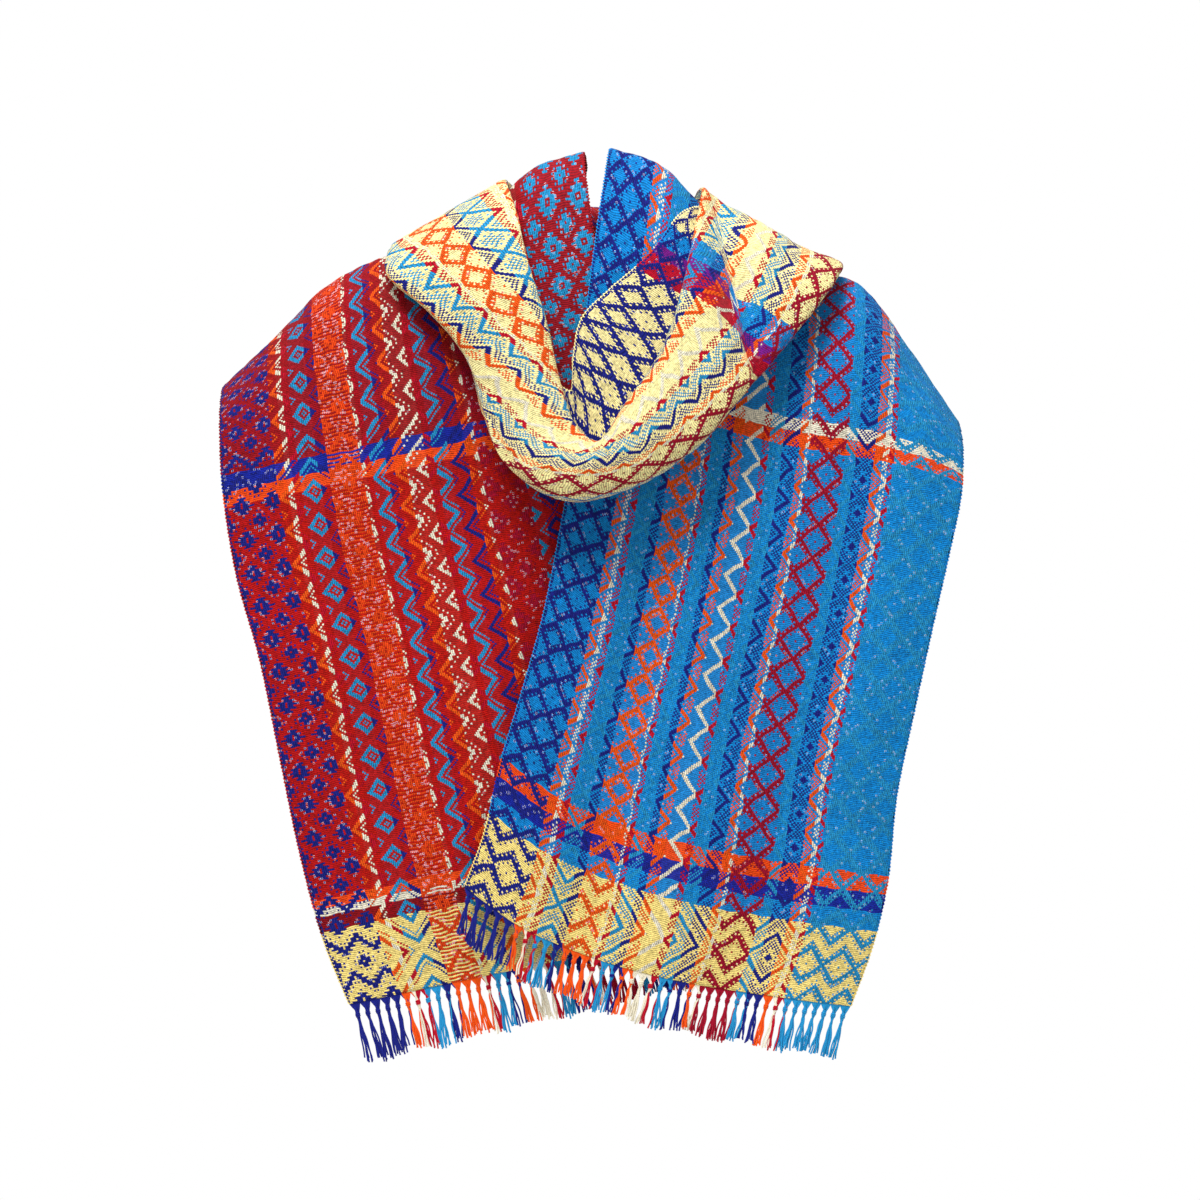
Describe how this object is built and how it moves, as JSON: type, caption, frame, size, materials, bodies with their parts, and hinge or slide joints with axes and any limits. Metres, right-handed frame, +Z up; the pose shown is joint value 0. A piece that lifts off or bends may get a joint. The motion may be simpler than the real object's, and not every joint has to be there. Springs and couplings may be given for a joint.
{
  "type": "woven scarf",
  "caption": "Long woven scarf in a once-around wrap, hollow, with a cowl fold across the front and two fringed ends hanging crossed.",
  "frame": {"origin": "middle of the neck base, where the wearer holds the wrap up, between the two shoulder folds", "axes": "+Z up, -Y towards the front, so +X is on the right of somebody who looks at the front"},
  "size_m": [0.4525, 0.1929, 0.5573],
  "materials": {
    "red_end_cloth": "woven, matt, red with coloured warp stripes",
    "red_back_cloth": "woven, matt, red turning to yellow",
    "cowl_cloth": "woven, matt, yellow with coloured warp stripes",
    "blue_back_cloth": "woven, matt, yellow turning to blue",
    "blue_end_cloth": "woven, matt, turquoise blue with coloured warp stripes",
    "red_fringe_yarn": "knotted yarn, matt",
    "blue_fringe_yarn": "knotted yarn, matt"
  },
  "bodies": {
    "root": {"red_end": "red_end_cloth", "red_back_band": "red_back_cloth", "cowl": "cowl_cloth", "blue_back_band": "blue_back_cloth", "blue_end": "blue_end_cloth", "red_fringe": "red_fringe_yarn", "blue_fringe": "blue_fringe_yarn"}
  },
  "joints": []
}
